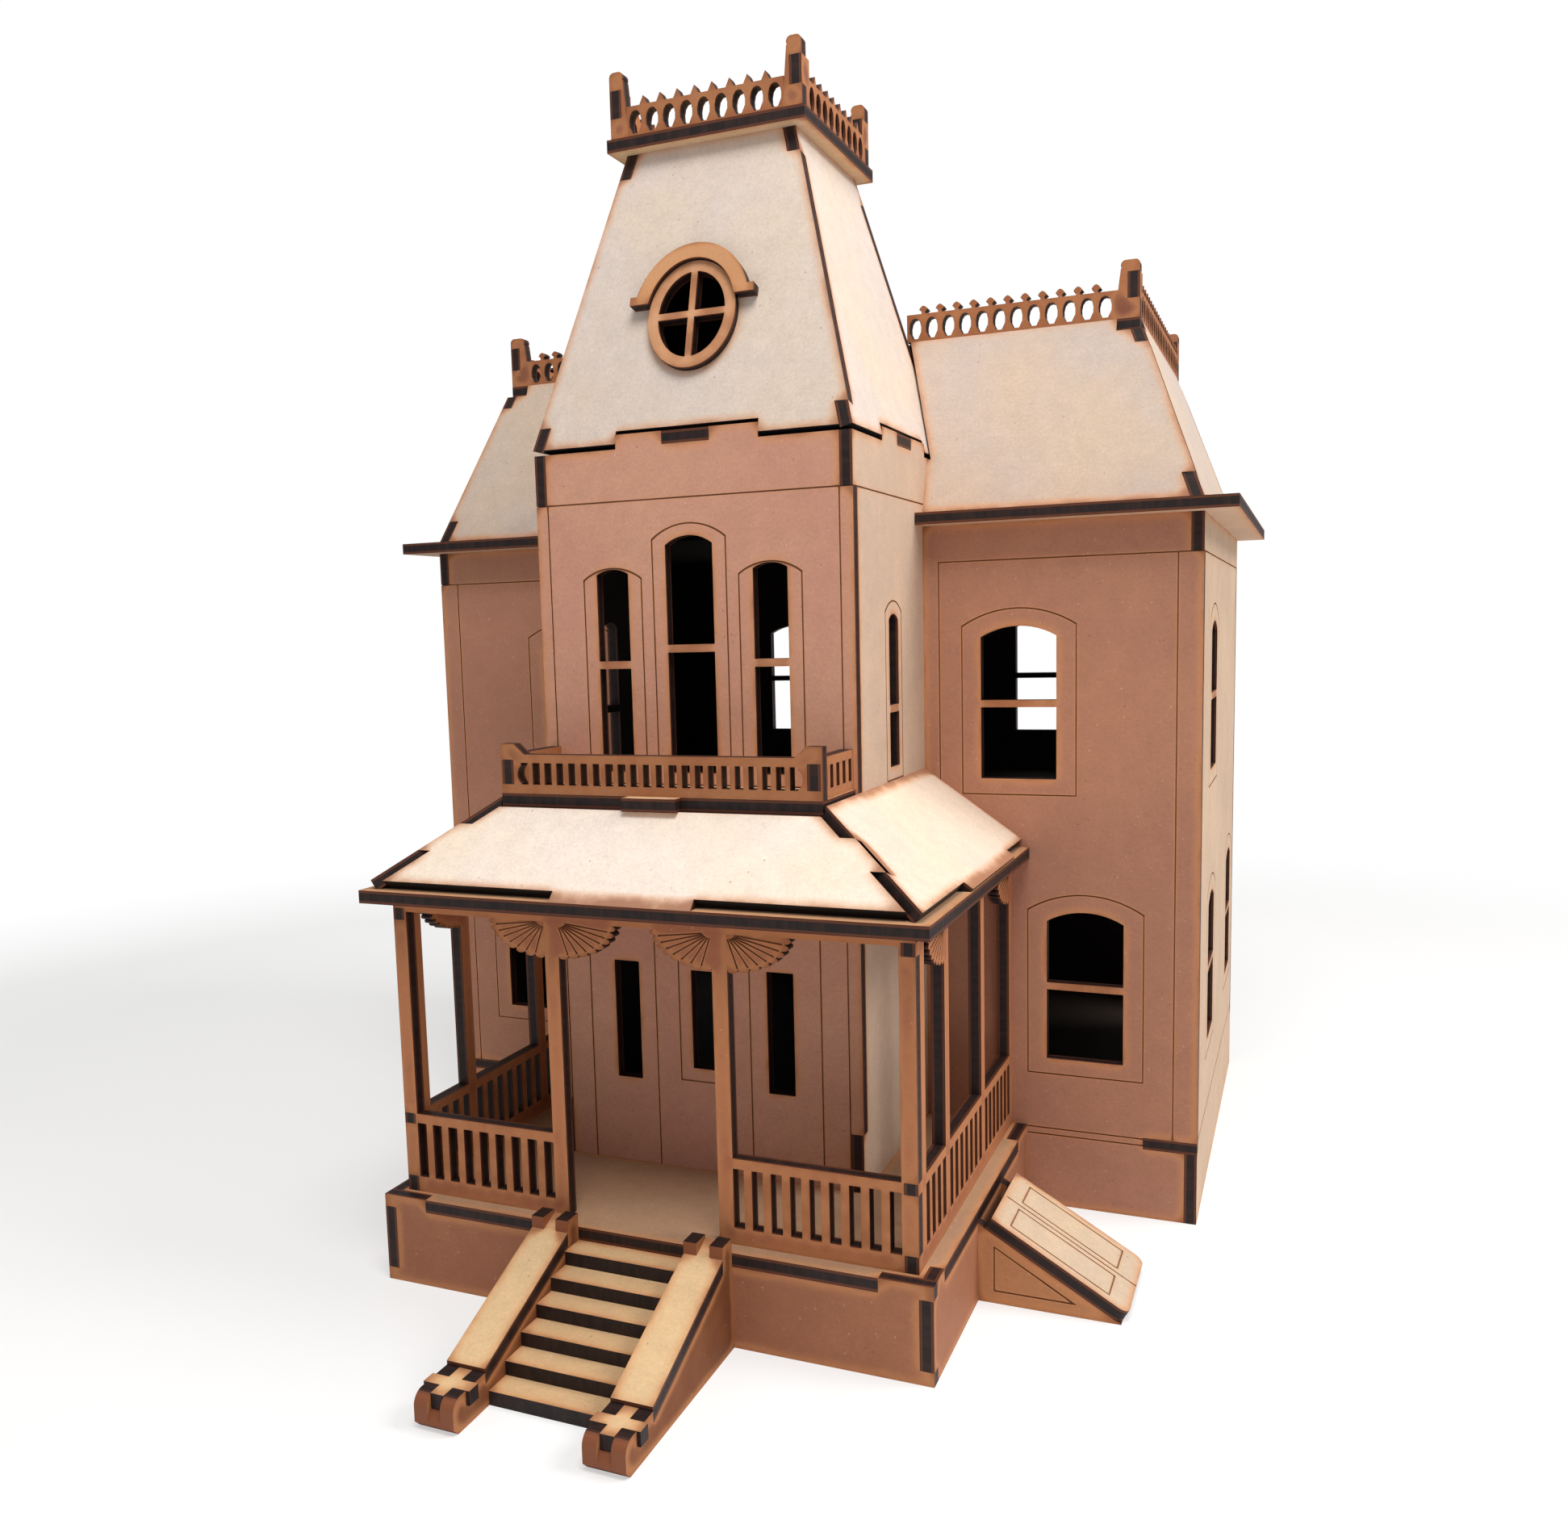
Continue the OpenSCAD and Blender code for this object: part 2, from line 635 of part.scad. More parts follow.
// ---------- porch frames ----------
rail_foot = 3.7;
rail_cap = 2.2;
beam_h = 2.8;
beam_z = porch_h - beam_h;
gap_w = 2.5;
module railing(x0, x1, n) difference() {
  rect(x0, x1, floor_z, rail_top);
  for (i = [0:n - 1]) let (b = (x1 - x0 - n * gap_w) / (n - 1))
    rect(x0 + i * (gap_w + b), x0 + i * (gap_w + b) + gap_w, floor_z + rail_foot, rail_top - rail_cap);
}
fan_w = 14.5;
side_fan_w = 13;
fan_h = 8.4;
fan_n = 8;
fan_steps = 6 * fan_n;
function petal(a) = 0.91 + 0.09 * sqrt(abs(sin(2 * fan_n * a)));
// quarter fan with a scalloped rim, hub at the origin, spreading to +x and down
module fan(w = fan_w) polygon(concat([[0, 0]],
  [for (i = [0:fan_steps]) let (a = 90 * i / fan_steps)
    [w * petal(a) * cos(a), -fan_h * petal(a) * sin(a)]]));
module fan_lines(w = fan_w) for (i = [1:fan_n - 1])
  let (a = 90 * i / fan_n, p = [w * cos(a), -fan_h * sin(a)])
  rotate(atan2(p[1], p[0])) rect(0.14 * norm(p), 0.88 * norm(p), -line_w / 2, line_w / 2);
mid_col = 18.5;
lap = [[floor_z, floor_z + rail_foot], [rail_top - rail_cap - 0.3, rail_top], [beam_z - 2, beam_z + 0.8]];
module frame_front_2d() {
  rect(-fx, fx, beam_z, porch_h);
  both() {
    rect(fx - col_w, fx, floor_z, porch_h);
    rect(mid_col, mid_col + col_w, floor_z, porch_h);
    railing(mid_col + col_w - 0.01, fx - col_w + 0.01, 9);
    translate([mid_col + col_w - 0.1, beam_z + 0.1]) fan();
    translate([mid_col + 0.1, beam_z + 0.1]) mirror([1, 0]) fan();
  }
}
module porch_frame_front() color(rust) difference() {
  sheet_front(fy) difference() {
    frame_front_2d();
    both() for (s = lap) rect(fx - T, fx + 1, s[0], s[1]);
  }
  sheet_front(fy - 1, 1 + line_d) both() {
    translate([mid_col + col_w - 0.1, beam_z + 0.1]) fan_lines();
    translate([mid_col + 0.1, beam_z + 0.1]) mirror([1, 0]) fan_lines();
  }
}
side_col_a = -67.8;
side_col_b = -34.6;
module frame_side_2d() {
  y0 = fy + T;
  rect(y0, 0, beam_z, porch_h);
  rect(y0, y0 + col_w - 0.5, floor_z, porch_h);
  rect(side_col_a, side_col_a + col_w, floor_z, porch_h);
  rect(side_col_b, side_col_b + col_w, floor_z, porch_h);
  rect(-col_w, 0, floor_z, porch_h);
  railing(y0 + col_w - 0.51, side_col_a + 0.01, 4);
  railing(side_col_a + col_w - 0.01, side_col_b + 0.01, 7);
  railing(side_col_b + col_w - 0.01, 0.01 - col_w, 7);
  for (s = lap) rect(fy, y0 + 1, s[0], s[1]);
  translate([side_col_a + 0.1, beam_z + 0.1]) mirror([1, 0]) fan(side_fan_w);
  translate([0.1 - col_w, beam_z + 0.1]) mirror([1, 0]) fan(side_fan_w);
}
module frame_side() difference() {
  sheet_side(fx - T) frame_side_2d();
  sheet_side(fx - line_d, 1 + line_d) {
    translate([side_col_a + 0.1, beam_z + 0.1]) mirror([1, 0]) fan_lines(side_fan_w);
    translate([0.1 - col_w, beam_z + 0.1]) mirror([1, 0]) fan_lines(side_fan_w);
  }
}
module porch_frame_right() color(rust) frame_side();
module porch_frame_left() color(rust) mirror([1, 0, 0]) frame_side();
porch_eave_x = px + 0.6;
porch_eave_y = porch_out + 2.2;
module porch_eaves() color(wood) sheet_flat(porch_h) difference() {
  rect(-porch_eave_x, porch_eave_x, -porch_eave_y, 0);
  rect(-tx, tx, ty, 1);
}

// ---------- porch roof ----------
pr_rise = 17.7;
pr_run_y = 17;
pr_run_x = 25.2;
pr_y = -porch_out - 0.1;
pr_x = px - 1.3;
front_lean = atan(pr_run_y / pr_rise);
pr_z = porch_top_z + T * sin(front_lean);
pr_tab = pr_z - porch_top_z;
pr_side_tab = 1.4;
pr_clear = 1;
side_lean = atan(pr_run_x / pr_rise);
front_len = pr_rise / cos(front_lean);
side_len = pr_rise / cos(side_lean);
front_tab_half = 16.8;
pr_finger = 3.4;
module porch_front_2d(wider = 0) difference() {
  union() {
    polygon([[-pr_x - wider, 0], [pr_x + wider, 0], [pr_x + wider - pr_run_x, front_len],
             [pr_run_x - pr_x - wider, front_len]]);
    rect(-front_tab_half, front_tab_half, -pr_tab / cos(front_lean), 1);
  }
  both() for (s = [[-1, 0.36], [0.68, 1.1]])
    polygon([[pr_x - pr_run_x * s[0] - pr_finger, front_len * s[0]],
             [pr_x - pr_run_x * s[0] + 9, front_len * s[0]],
             [pr_x - pr_run_x * s[1] + 9, front_len * s[1]],
             [pr_x - pr_run_x * s[1] - pr_finger, front_len * s[1]]]);
}
module porch_roof_front() color(pale) difference() {
  leaning(pr_y, pr_z, front_lean) porch_front_2d();
  level_cut(porch_top_z, balcony_z);
}
side_tab_a = -61;
side_tab_b = -18;
module porch_side_slope() difference() {
  translate([pr_x, 0, 0]) rotate([0, 0, 90]) leaning(0, pr_z, side_lean) {
    polygon([[pr_y, 0], [0, 0], [0, side_len], [pr_y + pr_run_y, side_len]]);
    rect(side_tab_a, side_tab_b, -pr_side_tab / cos(side_lean), 1);
  }
  level_cut(porch_top_z, BIG);
  leaning(pr_y, pr_z, front_lean, -T, 6) porch_front_2d(pr_clear);
  translate([-tx, ty, 0]) cube([tower_w, BIG, BIG]);
  translate([-balcony_half - 0.3, -BIG, balcony_z]) cube([2 * balcony_half + 0.6, BIG, BIG]);
}
module porch_roof_right() color(pale) porch_side_slope();
module porch_roof_left() color(pale) mirror([1, 0, 0]) porch_side_slope();

// ---------- balcony ----------
bal_z = balcony_z + T;
bal_h = 9;
bal_tab = 6.6;
bal_tab_out = 3.2;
bal_gap = 1.95;
bal_n = 22;
module balcony_floor() color(pale) sheet_flat(balcony_z) {
  rect(-balcony_half, balcony_half, -balcony_out, ty);
  rect(-bal_tab, bal_tab, -balcony_out - bal_tab_out, -balcony_out + 1);
}
module bal_bars(x0, x1, n) difference() {
  rect(x0, x1, 0, bal_h);
  for (i = [0:n - 1]) let (b = (x1 - x0 - n * bal_gap) / (n - 1))
    rect(x0 + i * (bal_gap + b), x0 + i * (bal_gap + b) + bal_gap, 2.1, 7.1);
}
// scrolled end of a balcony railing, outer edge at x = 0, body towards -x
module bal_end() difference() {
  union() {
    rect(-5.4, 0, 0, bal_h);
    polygon([[0, bal_h - 0.1], [0, bal_h + 2.4], [-3.6, bal_h + 2.4], [-6.4, bal_h - 0.1]]);
  }
  translate([-7, bal_h - 4.6]) circle(2.6);
}
module balcony_rail_front() color(rust) translate([0, 0, bal_z]) sheet_front(-balcony_out) difference() {
  union() {
    bal_bars(5.3 - balcony_half, balcony_half - 5.3, bal_n);
    both() translate([balcony_half, 0]) bal_end();
  }
  both() rect(balcony_half - T - 0.4, balcony_half - 0.4, 2.1, bal_h - 1.2);
}
module bal_side() translate([0, 0, bal_z]) sheet_side(balcony_half - T - 0.4) {
  bal_bars(T - balcony_out + 3, ty - 1.4, 4);
  rect(T - balcony_out, T - balcony_out + 3.01, 0, bal_h);
  rect(ty - 1.41, ty, 0, bal_h);
  rect(-balcony_out, T - balcony_out + 1, 2.1, bal_h - 1.2);
}
module balcony_rail_right() color(rust) bal_side();
module balcony_rail_left() color(rust) mirror([1, 0, 0]) bal_side();

// ---------- stairs ----------
module stair_treads() color(pale) for (k = [1:treads])
  translate([-stair_half, -porch_out - going * k, floor_z - T * (k + 1)])
    cube([2 * stair_half, going * k, T]);
stair_x = stair_half + 1.5 * T;
rail_hi_y = -porch_out - 4.6;
rail_lo_y = -porch_out - 37.5;
rail_hi_z = 18.3;
rail_lo_z = 4.8;
rail_k = (rail_hi_z - rail_lo_z) / (rail_hi_y - rail_lo_y);
rail_a = atan(rail_k);
newel_y = -porch_out - 48.5;
newel_h = 7.2;
newel_r = 2.6;
key_z = newel_h - T;
key_bar0 = rail_lo_y - 3.6;
function on_rail(y) = rail_hi_z + rail_k * (y - rail_hi_y);
module side_ply(core) {
  cap = core ? on_rail(-porch_out) : 24.2;
  top = core ? key_z : newel_h;
  polygon(concat(
    [[-porch_out, 0], [-porch_out, cap], [rail_hi_y, core ? rail_hi_z : cap], [rail_hi_y, rail_hi_z],
     [rail_lo_y, rail_lo_z], [rail_lo_y, top], [newel_y + newel_r, top]],
    [for (i = [0:8]) let (a = 90 + 90 * i / 8)
      [newel_y + newel_r + newel_r * cos(a), top - newel_r + newel_r * sin(a)]],
    [[newel_y, 1.5], [newel_y + 1.5, 0]]));
}
module outer_ply() difference() {
  side_ply(false);
  rect(key_bar0 - T, key_bar0, key_z, newel_h + 1);
}
module stair_side() {
  sheet_side(stair_x - T / 2) side_ply(true);
  sheet_side(stair_x - 1.5 * T) outer_ply();
  sheet_side(stair_x + T / 2) outer_ply();
}
module stair_side_right() color(rust) stair_side();
module stair_side_left() color(rust) mirror([1, 0, 0]) stair_side();
module stair_rails() color(pale) both() translate([stair_x, 0, 0]) difference() {
  union() {
    sheet_side(-1.5 * T, 3 * T) rail_2d(rail_lo_y, rail_hi_y);
    sheet_side(-T / 2) rail_2d(rail_hi_y - 1, -porch_out);
  }
}
module rail_2d(y0, y1) polygon([[y0, on_rail(y0)], [y1, on_rail(y1)],
  [y1, on_rail(y1) + T / cos(rail_a)], [y0, on_rail(y0) + T / cos(rail_a)]]);
module newel_keys() color(pale) both() translate([stair_x, 0]) sheet_flat(key_z) {
  rect(-T / 2, T / 2, key_bar0 - T - 3, rail_lo_y);
  rect(-1.5 * T - 0.8, 1.5 * T + 0.8, key_bar0 - T, key_bar0);
}

// ---------- cellar hatch ----------
hatch_y = -56;
hatch_reach = hatch_h / tan(hatch_a);
module hatch_cheek_2d() polygon([[px, 0], [px + hatch_reach, 0], [px, hatch_h]]);
module hatch_cheek_line() difference() {
  polygon([[px + 3.5, 2.8], [px + hatch_reach - 9.4, 2.8], [px + 3.5, hatch_h - 4.6]]);
  polygon([[px + 3.5 + line_w, 2.8 + line_w], [px + hatch_reach - 9.4 - 4 * line_w, 2.8 + line_w],
           [px + 3.5 + line_w, hatch_h - 4.6 - 1.6 * line_w]]);
}
module hatch_cheeks() color(wood) {
  difference() {
    sheet_front(hatch_y) hatch_cheek_2d();
    sheet_front(hatch_y - 1, 1 + line_d) hatch_cheek_line();
  }
  sheet_front(hatch_y + hatch_w - T) hatch_cheek_2d();
}
door_len = hatch_reach / cos(hatch_a);
door_gap = 1.8;
module hatch_plate_2d() union() {
  rect(door_gap, door_len - 2.5, 0, hatch_w);
  rect(door_gap, door_len, 2.5, hatch_w - 2.5);
  for (w = [2.5, hatch_w - 2.5]) translate([door_len - 2.5, w]) circle(2.5);
}
module hatch_door() color(pale) translate([px, hatch_y, hatch_h]) rotate([0, hatch_a, 0]) difference() {
  linear_extrude(T) hatch_plate_2d();
  translate([0, 0, T - line_d]) linear_extrude(1) {
    rect(door_gap + 0.8, door_len + 1, hatch_w / 2 - line_w / 2, hatch_w / 2 + line_w / 2);
    for (w = [2.4, hatch_w / 2 + 1.8]) frame_line(6, door_len - 5, w, w + hatch_w / 2 - 4.2);
  }
}

main_front_left();
main_front_right();
main_side_left();
main_side_right();
main_back();
ground_floor();
upper_floor();
eaves_sheet();
roof_front_left();
roof_front_right();
roof_back();
roof_left();
roof_right();
roof_top();
cresting_front_left();
cresting_front_right();
cresting_left();
cresting_right();
cresting_back();
tower_front();
tower_left();
tower_right();
tower_back();
tower_ceiling();
tower_roof_front();
tower_roof_back();
tower_roof_left();
tower_roof_right();
oval_frame();
oval_hood();
tower_cap();
tower_rail_front();
tower_rail_back();
tower_rail_left();
tower_rail_right();
plinth_front();
plinth_left();
plinth_right();
porch_deck();
porch_frame_front();
porch_frame_left();
porch_frame_right();
porch_eaves();
porch_roof_front();
porch_roof_left();
porch_roof_right();
balcony_floor();
balcony_rail_front();
balcony_rail_left();
balcony_rail_right();
stair_treads();
stair_side_left();
stair_side_right();
stair_rails();
newel_keys();
hatch_cheeks();
hatch_door();
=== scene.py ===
"""Looks for the wooden doll's house: laser-cut fibreboard with scorched edges, on a white studio floor."""
import math

import bpy
from mathutils import Matrix, Vector

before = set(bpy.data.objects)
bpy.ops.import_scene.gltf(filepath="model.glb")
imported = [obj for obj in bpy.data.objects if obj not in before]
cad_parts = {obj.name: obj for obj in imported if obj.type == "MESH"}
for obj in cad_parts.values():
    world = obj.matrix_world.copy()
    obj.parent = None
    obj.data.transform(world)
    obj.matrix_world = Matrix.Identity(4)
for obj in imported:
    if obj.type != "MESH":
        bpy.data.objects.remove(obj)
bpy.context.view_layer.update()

MM = 0.001
SHEET = 3 * MM          # sheet thickness
GROOVE = 0.3 * MM       # depth of an engraved line


# ---------- small helpers for node trees ----------
class Tree:
    """Builds shader nodes with short calls; a value may be a number, a colour or another node's output."""

    def __init__(self, material):
        material.use_nodes = True
        self.nodes = material.node_tree.nodes
        self.links = material.node_tree.links
        self.nodes.clear()

    def put(self, socket, value):
        if isinstance(value, bpy.types.NodeSocket):
            self.links.new(value, socket)
        else:
            socket.default_value = value

    def node(self, kind, inputs=(), **settings):
        made = self.nodes.new(kind)
        for key, value in settings.items():
            setattr(made, key, value)
        for key, value in dict(inputs).items():
            self.put(made.inputs[key], value)
        return made

    def math(self, operation, *values, clamp=False):
        made = self.node("ShaderNodeMath", operation=operation, use_clamp=clamp)
        for i, value in enumerate(values):
            self.put(made.inputs[i], value)
        return made.outputs[0]

    def dot(self, vector, direction):
        made = self.node("ShaderNodeVectorMath", {0: vector, 1: direction}, operation="DOT_PRODUCT")
        return made.outputs["Value"]

    def ramp(self, value, low, high, smooth=True):
        """0 below low, 1 above high."""
        made = self.node("ShaderNodeMapRange", {"Value": value, "From Min": low, "From Max": high},
                         interpolation_type="SMOOTHSTEP" if smooth else "LINEAR")
        return made.outputs["Result"]

    def noise(self, vector, size, detail=2.0, rough=0.5, stretch=(1, 1, 1)):
        """Noise whose blobs are about size metres across."""
        scaled = self.node("ShaderNodeMapping", {"Vector": vector, "Scale": stretch}).outputs[0]
        made = self.node("ShaderNodeTexNoise", {"Vector": scaled, "Scale": 1 / size, "Detail": detail,
                                                "Roughness": rough})
        return made.outputs["Fac"]

    def mix(self, amount, a, b, blend="MIX"):
        made = self.node("ShaderNodeMix", data_type="RGBA", blend_type=blend)
        self.put(made.inputs["Factor"], amount)
        self.put(made.inputs["A"], a)
        self.put(made.inputs["B"], b)
        return made.outputs["Result"]


def srgb(hex_code, alpha=1.0):
    """A linear colour from a web colour."""
    channels = [int(hex_code[i:i + 2], 16) / 255 for i in (1, 3, 5)]
    linear = [c / 12.92 if c <= 0.04045 else ((c + 0.055) / 1.055) ** 2.4 for c in channels]
    return (*linear, alpha)


# ---------- the sheet that a node is cut from ----------
def sheet_of(node):
    """(unit normal of the node's broad faces, lowest and highest place of the node along it)."""
    mesh = node.data
    areas = {}
    for face in mesh.polygons:
        n = face.normal
        key = max((tuple(round(c, 2) for c in n), tuple(round(-c, 2) for c in n)))
        total, best, normal = areas.get(key, (0.0, 0.0, n.copy()))
        if face.area > best:
            best, normal = face.area, n.copy()
        areas[key] = (total + face.area, best, normal)
    normal = max(areas.values(), key=lambda entry: entry[0])[2].normalized()
    along = [v.co.dot(normal) for v in mesh.vertices]
    return normal, min(along), max(along)


# ---------- colours of burnt board, and of painted shade ---
CHAR = srgb("#180e0f")          # cut edges
CHAR_PALE = srgb("#2f1c18")     # streaks on cut edges
SANDED = srgb("#8f5232")        # rounded newel fronts
ENGRAVED = srgb("#6a3820")      # engraved lines
SINGED = srgb("#cf8f5c")        # wide glow beside a cut
BURNT = srgb("#83492a")         # narrow rim right at a cut
DARK_SPECK = srgb("#6b4630")
PALE_SPECK = srgb("#fff3e2")
SHADE_BLACK = srgb("#0e1115")          # painted shade: inside the closed rooms and under the roof slopes
CUT_FACING = 0.95               # faces turned further than this from the sheet's normal are cut edges


# The closed rooms, as boxes: their walls, floors and ceilings are painted near-black, as painted shade for
# their unlit inside.
ROOMS = (
    (Vector((-105.6, 2.9, 0)) * MM, Vector((105.6, 132.1, 176.1)) * MM),
    (Vector((-37.1, -52.6, 0)) * MM, Vector((37.1, 21.6, 266.1)) * MM),
)


def in_room(t, place):
    """1 on surfaces that bound one of the closed rooms."""
    x, y, z = t.node("ShaderNodeSeparateXYZ", {0: place}).outputs
    found = 0.0
    for low, high in ROOMS:
        inside = 1.0
        for value, lowest, highest in zip((x, y, z), low, high):
            inside = t.math("MULTIPLY", inside, t.math("GREATER_THAN", value, lowest))
            inside = t.math("MULTIPLY", inside, t.math("LESS_THAN", value, highest))
        found = t.math("MAXIMUM", found, inside)
    return found


def fibreboard(name, node, seed, face, warm, scorch_face=0.0, layers=False, painted_shade=None,
               sanded_front=False):
    """Laser-cut fibreboard: speckled faces, browned rims, near-black cut edges and engraved lines.

    face and warm are the two face colours that vary over the sheet; they hold painted light and shade,
    paler on sheets turned to the light and darker on shaded ones. scorch_face is how brown the whole face
    is, as on thin trim that the laser passed on both sides. layers marks pieces stacked from several
    sheets, which have no engraved lines. painted_shade is "room" for sheets that close the rooms, whose
    unlit inside is painted near-black as painted shade, and "back" for roof slopes, whose downward side is
    painted near-black as painted shade. sanded_front browns cut edges that face the front.
    """
    normal, low, high = sheet_of(node)
    material = bpy.data.materials.new(name)
    t = Tree(material)
    geometry = t.node("ShaderNodeNewGeometry")
    place = geometry.outputs["Position"]
    shifted = t.node("ShaderNodeVectorMath", {0: place, 1: (seed * 0.37, seed * 0.73, seed * 0.19)},
                     operation="ADD").outputs[0]

    # which kind of surface this is
    facing = t.math("ABSOLUTE", t.dot(geometry.outputs["True Normal"], tuple(normal)))
    is_cut = t.math("LESS_THAN", facing, CUT_FACING)
    in_groove = 0.0
    if not layers:
        along = t.dot(place, tuple(normal))
        depth = t.math("MINIMUM", t.math("SUBTRACT", high, along), t.math("SUBTRACT", along, low))
        in_groove = t.math("MULTIPLY", t.math("GREATER_THAN", depth, 0.3 * GROOVE),
                           t.math("LESS_THAN", depth, 2 * GROOVE))

    # face colour: soft clouds, fine fibres and a few dark and pale specks
    clouds = t.noise(shifted, 34 * MM, 3, 0.55)
    mottle = t.noise(shifted, 5 * MM, 3, 0.6)
    grain = t.noise(shifted, 0.7 * MM, 2, 0.7)
    fibre = t.noise(shifted, 2.2 * MM, 2, 0.6, stretch=(1, 1, 3.5))
    colour = t.mix(t.ramp(clouds, 0.3, 0.7), face, warm)
    tone = t.math("ADD", t.math("MULTIPLY", t.math("SUBTRACT", mottle, 0.5), 0.22),
                  t.math("MULTIPLY", t.math("SUBTRACT", grain, 0.5), 0.34))
    tone = t.math("ADD", tone, t.math("MULTIPLY", t.math("SUBTRACT", fibre, 0.5), 0.12))
    colour = t.node("ShaderNodeVectorMath", {0: colour, "Scale": t.math("ADD", 1.0, tone)},
                    operation="SCALE").outputs[0]
    dots = t.node("ShaderNodeTexVoronoi", {"Vector": shifted, "Scale": 1 / (2.6 * MM), "Randomness": 1.0})
    speck = t.math("SUBTRACT", 1.0, t.ramp(dots.outputs["Distance"], 0.04, 0.13))
    rare = t.ramp(t.noise(shifted, 7 * MM, 1), 0.52, 0.60)
    colour = t.mix(t.math("MULTIPLY", t.math("MULTIPLY", speck, rare), 0.45), colour, DARK_SPECK)
    pale_dots = t.node("ShaderNodeTexVoronoi", {"Vector": shifted, "Scale": 1 / (1.7 * MM), "W": 3.0},
                       voronoi_dimensions="4D")
    pale = t.math("SUBTRACT", 1.0, t.ramp(pale_dots.outputs["Distance"], 0.05, 0.2))
    colour = t.mix(t.math("MULTIPLY", pale, 0.16), colour, PALE_SPECK)

    # browned rim: the nearer to a cut, the browner
    inner = t.node("ShaderNodeAmbientOcclusion", {"Distance": 2.85 * MM}, samples=12, inside=True,
                   only_local=True).outputs["AO"]
    rim = t.math("SUBTRACT", 1.0, inner)
    smoke = t.noise(shifted, 9 * MM, 3, 0.6)
    reach = t.math("MULTIPLY", rim, t.math("ADD", 0.35, t.math("MULTIPLY", smoke, 2.1)))
    glow = t.ramp(reach, 0.02, 0.7)
    burn = t.ramp(reach, 0.45, 1.0)
    if scorch_face:
        stain = t.math("MULTIPLY", t.ramp(smoke, 0.25, 0.75), scorch_face)
        glow = t.math("MAXIMUM", glow, t.math("ADD", stain, 0.35 * scorch_face), clamp=True)
    colour = t.mix(t.math("MULTIPLY", glow, 0.62), colour, SINGED)
    colour = t.mix(t.math("MULTIPLY", burn, 0.7), colour, BURNT)

    # charred cut edges, with fine streaks that run through the sheet's thickness
    across = tuple(9.0 if abs(c) < 0.5 else 2.5 for c in normal)
    streaks = t.noise(shifted, 14 * MM, 2, 0.6, stretch=across)
    char = t.mix(t.ramp(streaks, 0.3, 0.8), CHAR, CHAR_PALE)
    if sanded_front:
        front = t.ramp(t.dot(geometry.outputs["True Normal"], (0, -1, 0)), 0.2, 0.6)
        char = t.mix(t.math("MULTIPLY", front, 0.8), char, SANDED)
    colour = t.mix(is_cut, colour, char)
    colour = t.mix(t.math("MULTIPLY", in_groove, 0.65), colour, ENGRAVED)
    # painted shade: the unlit inside of the closed rooms is painted near-black
    if painted_shade == "room":
        colour = t.mix(t.math("MULTIPLY", in_room(t, place), 0.93), colour, SHADE_BLACK)
    # painted shade: the downward-facing side of the roof slopes is painted near-black
    elif painted_shade == "back":
        outward = t.math("MULTIPLY", t.dot(geometry.outputs["True Normal"], (0, 0, 1)), -1.0)
        colour = t.mix(t.math("MULTIPLY", t.math("GREATER_THAN", outward, 0.1), 0.93), colour, SHADE_BLACK)

    # surface: matt face, slightly glossier burnt edge, and a fine fibre bump
    rough = t.math("ADD", 0.62, t.math("MULTIPLY", grain, 0.22))
    rough = t.math("SUBTRACT", rough, t.math("MULTIPLY", is_cut, 0.14))
    height = t.math("ADD", t.math("MULTIPLY", grain, 0.6), t.math("MULTIPLY", mottle, 0.4))
    height = t.math("ADD", height, t.math("MULTIPLY", t.math("MULTIPLY", streaks, is_cut), 1.2))
    bump = t.node("ShaderNodeBump", {"Height": height, "Strength": 0.25, "Distance": 0.12 * MM})
    shader = t.node("ShaderNodeBsdfPrincipled", {"Base Color": colour, "Roughness": rough,
                                                 "Normal": bump.outputs[0]})
    shader.inputs["Specular IOR Level"].default_value = 0.32
    output = t.node("ShaderNodeOutputMaterial")
    t.links.new(shader.outputs[0], output.inputs["Surface"])
    return material


